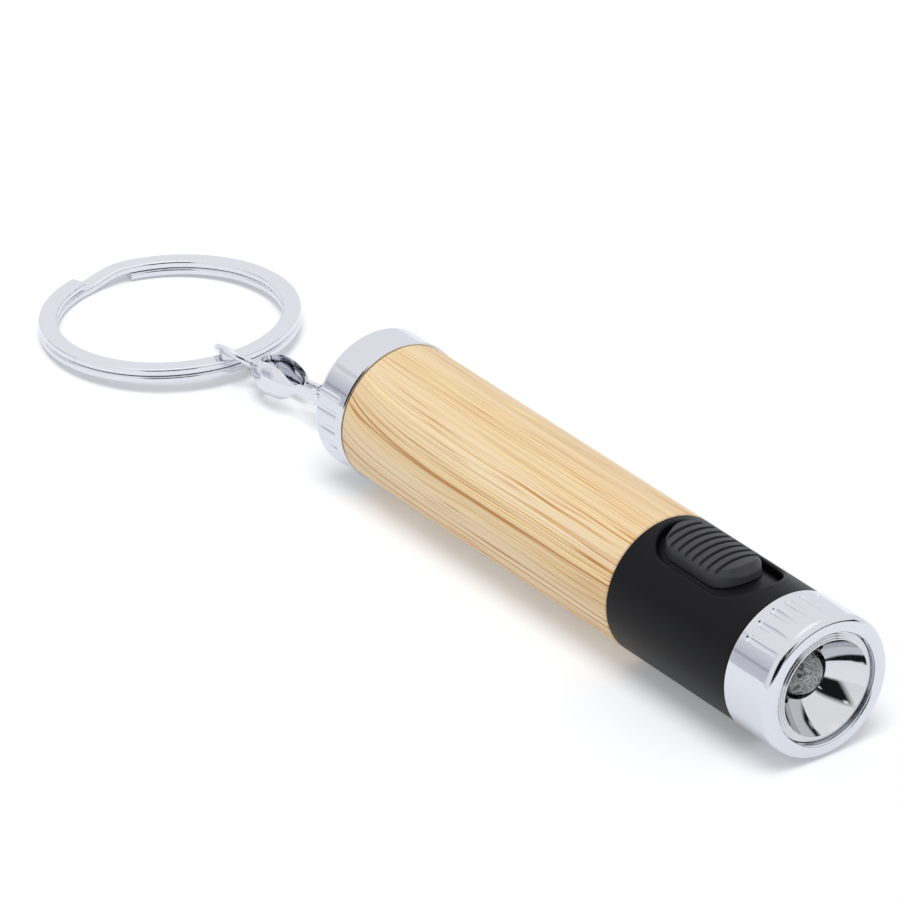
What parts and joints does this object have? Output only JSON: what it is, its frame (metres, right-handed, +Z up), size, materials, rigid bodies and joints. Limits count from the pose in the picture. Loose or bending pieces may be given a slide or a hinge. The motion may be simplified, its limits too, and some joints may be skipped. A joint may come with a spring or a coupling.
{
  "type": "keychain flashlight",
  "caption": "Small torch with a bamboo grip, black slide-switch housing and bright fluted ends, on a swivel chain with a split ring.",
  "frame": {"origin": "on the floor below the middle of the whole object as it lies", "axes": "+X along the torch towards the lamp, +Z up, +Y across"},
  "size_m": [0.1334, 0.03, 0.0171],
  "materials": {
    "bamboo": "satin, long grain",
    "housing_plastic": "satin black",
    "button_plastic": "ribbed, satin",
    "chrome": "bright plated",
    "reflector_chrome": "vacuum plated",
    "nickel_wire": "nickel plated steel",
    "spring_steel": "drawn wire",
    "aluminium_tube": "drawn",
    "brass_strip": "rolled strip",
    "cell_jacket": "plain printed jacket with bare ends",
    "clear_epoxy": "clear, glossy",
    "tinned_lead": "tinned",
    "inner_plastic": "natural white",
    "board_laminate": "green laminate",
    "ferrite": "dark moulded"
  },
  "bodies": {
    "torch": {"bamboo_sleeve": "bamboo", "battery_tube": "aluminium_tube", "aaa_cell": "cell_jacket", "switch_housing": "housing_plastic", "switch_base": "inner_plastic", "battery_contact": "brass_strip", "lamp_contact": "brass_strip", "led_leads": "tinned_lead", "led_lens": "clear_epoxy", "led_holder": "inner_plastic", "circuit_board": "board_laminate", "boost_coil": "ferrite", "driver_chip": "ferrite"},
    "slide_switch": {"slider_button": "button_plastic", "slider_carrier": "inner_plastic", "slider_contact": "brass_strip"},
    "lamp_front": {"reflector": "reflector_chrome"},
    "bezel": {"head_bezel": "chrome"},
    "tail_contact": {"tail_contact_plate": "brass_strip", "tail_spring": "spring_steel"},
    "cap": {"tail_cap": "chrome", "tail_eye": "nickel_wire", "eye_washer": "nickel_wire", "eye_nut": "spring_steel"},
    "link": {"chain_link": "nickel_wire"},
    "yoke": {"swivel_yoke": "nickel_wire", "yoke_pin": "nickel_wire"},
    "swivel": {"swivel_eye": "nickel_wire", "swivel_collar": "nickel_wire"},
    "ring": {"split_ring": "nickel_wire"}
  },
  "joints": [
    {"name": "switch_slide", "type": "slide", "parent": "torch", "child": "slide_switch", "axis": [1, 0, 0], "range_m": [0, 0.0022]},
    {"name": "bezel_travel", "type": "slide", "parent": "torch", "child": "lamp_front", "axis": [1, 0, 0], "range_m": [0, 0.004]},
    {"name": "bezel_screw", "type": "hinge", "parent": "lamp_front", "child": "bezel", "pos_m": [0.06673, 0.0008, 0.0082], "axis": [1, 0, 0], "range_deg": [0, 1440]},
    {"name": "cap_travel", "type": "slide", "parent": "torch", "child": "tail_contact", "axis": [-1, 0, 0], "range_m": [0, 0.004]},
    {"name": "cap_screw", "type": "hinge", "parent": "tail_contact", "child": "cap", "pos_m": [-0.01307, 0.0008, 0.0082], "axis": [-1, 0, 0], "range_deg": [0, 1440]},
    {"name": "link_swing", "type": "hinge", "parent": "cap", "child": "link", "pos_m": [-0.01797, 0.0008, 0.0082], "axis": [0, 1, 0], "range_deg": [-30, 40]},
    {"name": "yoke_swing", "type": "hinge", "parent": "link", "child": "yoke", "pos_m": [-0.02227, 0.00062, 0.004], "axis": [-0.0432, 0.9991, 0], "range_deg": [-35, 35]},
    {"name": "swivel_turn", "type": "hinge", "parent": "yoke", "child": "swivel", "pos_m": [-0.03777, -0.00005, 0.0023], "axis": [-0.9931, -0.0429, -0.1089], "continuous": true},
    {"name": "ring_swing", "type": "hinge", "parent": "swivel", "child": "ring", "pos_m": [-0.03777, -0.00005, 0.0023], "axis": [0.0036, 1, 0], "range_deg": [-100, 100]}
  ],
  "couplings": [
    {"joint": "bezel_travel", "follows": "bezel_screw", "m_per_rad": 0.00015915},
    {"joint": "cap_travel", "follows": "cap_screw", "m_per_rad": 0.00015915}
  ]
}
